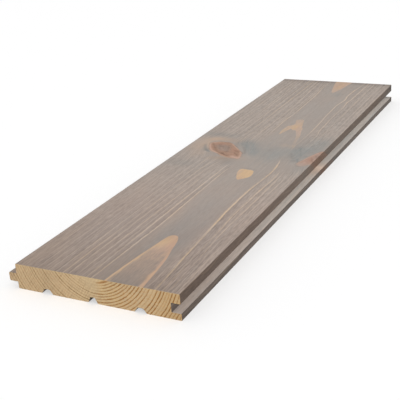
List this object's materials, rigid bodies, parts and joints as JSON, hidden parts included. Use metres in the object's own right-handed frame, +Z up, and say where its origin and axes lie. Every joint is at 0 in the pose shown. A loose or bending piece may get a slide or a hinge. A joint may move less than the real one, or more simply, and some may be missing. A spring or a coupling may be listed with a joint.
{
  "type": "solid wood floorboard",
  "caption": "Planed softwood floorboard with a tongue on one long edge, a groove on the other and relief grooves along the underside.",
  "frame": {"origin": "centre of the board's box, on the plane of its underside", "axes": "+X across the board from the tongue to the groove, +Y along the board from the near sawn end to the far one, +Z up out of the walking face"},
  "size_m": [0.1422, 0.54, 0.02],
  "materials": {
    "wood": "planed softwood with a thin grey-brown stain on the face and edges, bare pale wood on the sawn ends and underside"
  },
  "bodies": {
    "root": {"floorboard": "wood"}
  },
  "joints": []
}
